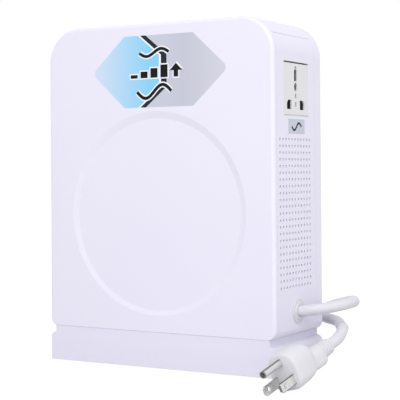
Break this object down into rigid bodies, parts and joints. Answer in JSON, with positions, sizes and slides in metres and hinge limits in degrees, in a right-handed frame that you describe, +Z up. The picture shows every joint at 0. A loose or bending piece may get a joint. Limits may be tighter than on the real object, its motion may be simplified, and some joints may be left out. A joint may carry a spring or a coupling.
{
  "type": "voltage_converter",
  "caption": "Upright white step-up voltage transformer on a stand, with a universal outlet and vents on one side and a mains lead with a three-pin plug",
  "frame": {"origin": "middle of the footprint, on the surface that the feet stand on", "axes": "+X to the object's right, where the outlet, vents and mains lead are; -Y is the front with the round recess and the label; +Z up"},
  "size_m": [0.2314, 0.2426, 0.248],
  "materials": {
    "shell_plastic": "white satin moulding with a cool cast",
    "outlet_plastic": "light grey satin moulding",
    "housing_plastic": "dark grey moulding behind the outlet's face",
    "lead_plastic": "off-white flexible moulding",
    "label_film": "printed film, sky blue to silver grey with a navy band",
    "small_label_film": "printed film, grey blue",
    "nickel_plate": "nickel-plated pins",
    "contact_brass": "sprung sheet",
    "zinc_steel": "zinc-plated fasteners and plate",
    "core_steel": "wound steel strip",
    "copper_wire": "enamelled copper wire",
    "wire_insulation": "insulated hook-up wire",
    "dark_rubber": "grey rubber"
  },
  "bodies": {
    "root": {"front_cover": "shell_plastic", "rear_cover": "shell_plastic", "right_panel": "shell_plastic", "left_panel": "shell_plastic", "top_panel": "shell_plastic", "floor_panel": "shell_plastic", "base_stand": "shell_plastic", "base_plate": "shell_plastic", "rubber_feet": "dark_rubber", "cover_screws": "zinc_steel", "stand_screws": "zinc_steel", "base_plate_screws": "zinc_steel", "front_label": "label_film", "output_label": "small_label_film", "socket_face": "outlet_plastic", "socket_insert": "housing_plastic", "socket_housing": "housing_plastic", "live_contact": "contact_brass", "neutral_contact": "contact_brass", "earth_contact": "contact_brass", "cable_gland": "lead_plastic", "gland_nut": "shell_plastic", "toroid_core": "core_steel", "winding": "copper_wire", "front_pad": "dark_rubber", "rear_pad": "dark_rubber", "clamp_plate": "zinc_steel", "centre_bolt": "zinc_steel", "bolt_insert": "contact_brass", "thermal_cutout": "outlet_plastic", "terminal_block": "outlet_plastic", "supply_leads": "wire_insulation", "output_leads": "wire_insulation", "winding_leads": "wire_insulation", "cord_run_out": "lead_plastic", "cord_coil": "lead_plastic", "cord_run_plug": "lead_plastic", "coil_tie": "dark_rubber", "plug_body": "lead_plastic", "live_blade": "nickel_plate", "neutral_blade": "nickel_plate", "earth_pin": "nickel_plate"}
  },
  "joints": []
}
